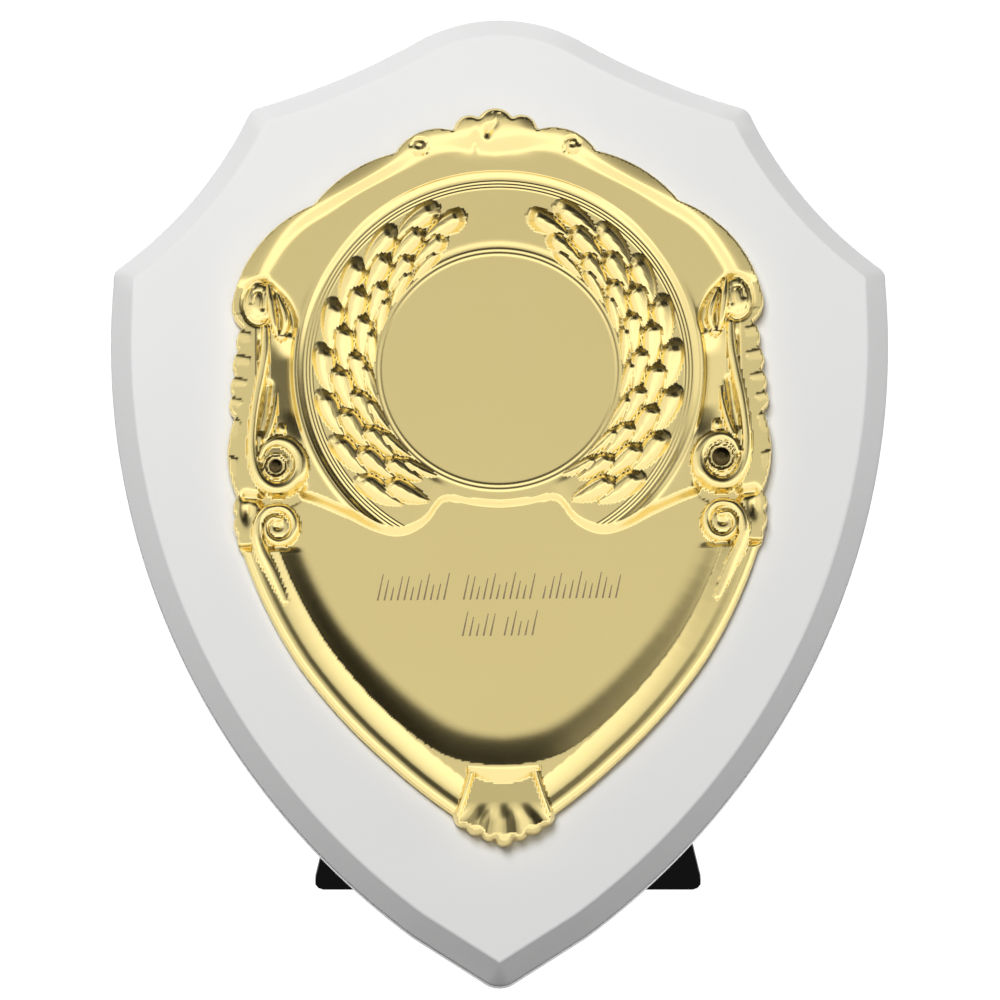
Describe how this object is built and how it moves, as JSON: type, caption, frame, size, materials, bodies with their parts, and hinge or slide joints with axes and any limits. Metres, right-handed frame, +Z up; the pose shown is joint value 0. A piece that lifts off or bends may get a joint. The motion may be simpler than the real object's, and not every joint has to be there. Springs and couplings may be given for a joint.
{
  "type": "award shield plaque",
  "caption": "Shield-shaped plaque with a chamfered white board, a stamped gilt front with wreath, round seat and engraving field, and a fold-out strut behind.",
  "frame": {"origin": "middle of the footprint on the surface that the tip and the strut's foot stand on", "axes": "+Z up, the board's face looks towards -Y and leans back 23 degrees, +X to the right of a viewer in front"},
  "size_m": [0.1604, 0.0934, 0.1883],
  "materials": {
    "white_lacquer": "white gloss lacquer on fibreboard",
    "gilt": "bright gilt stamped sheet, satin on its flats",
    "nail_brass": "darkened polished brass",
    "black_enamel": "black satin enamel",
    "dark_steel": "blackened steel"
  },
  "bodies": {
    "plaque": {"shield_board": "white_lacquer", "shield_front": "gilt", "front_nail_left": "nail_brass", "front_nail_right": "nail_brass", "strut_hinge_plate": "black_enamel", "hinge_pin": "dark_steel", "hinge_screw_left": "dark_steel", "hinge_screw_right": "dark_steel"},
    "strut": {"strut_leg": "black_enamel"}
  },
  "joints": [
    {"name": "strut_fold", "type": "hinge", "parent": "plaque", "child": "strut", "pos_m": [0.0018, 0.00897, 0.111], "axis": [-1, 0, 0], "range_deg": [0, 41]}
  ]
}
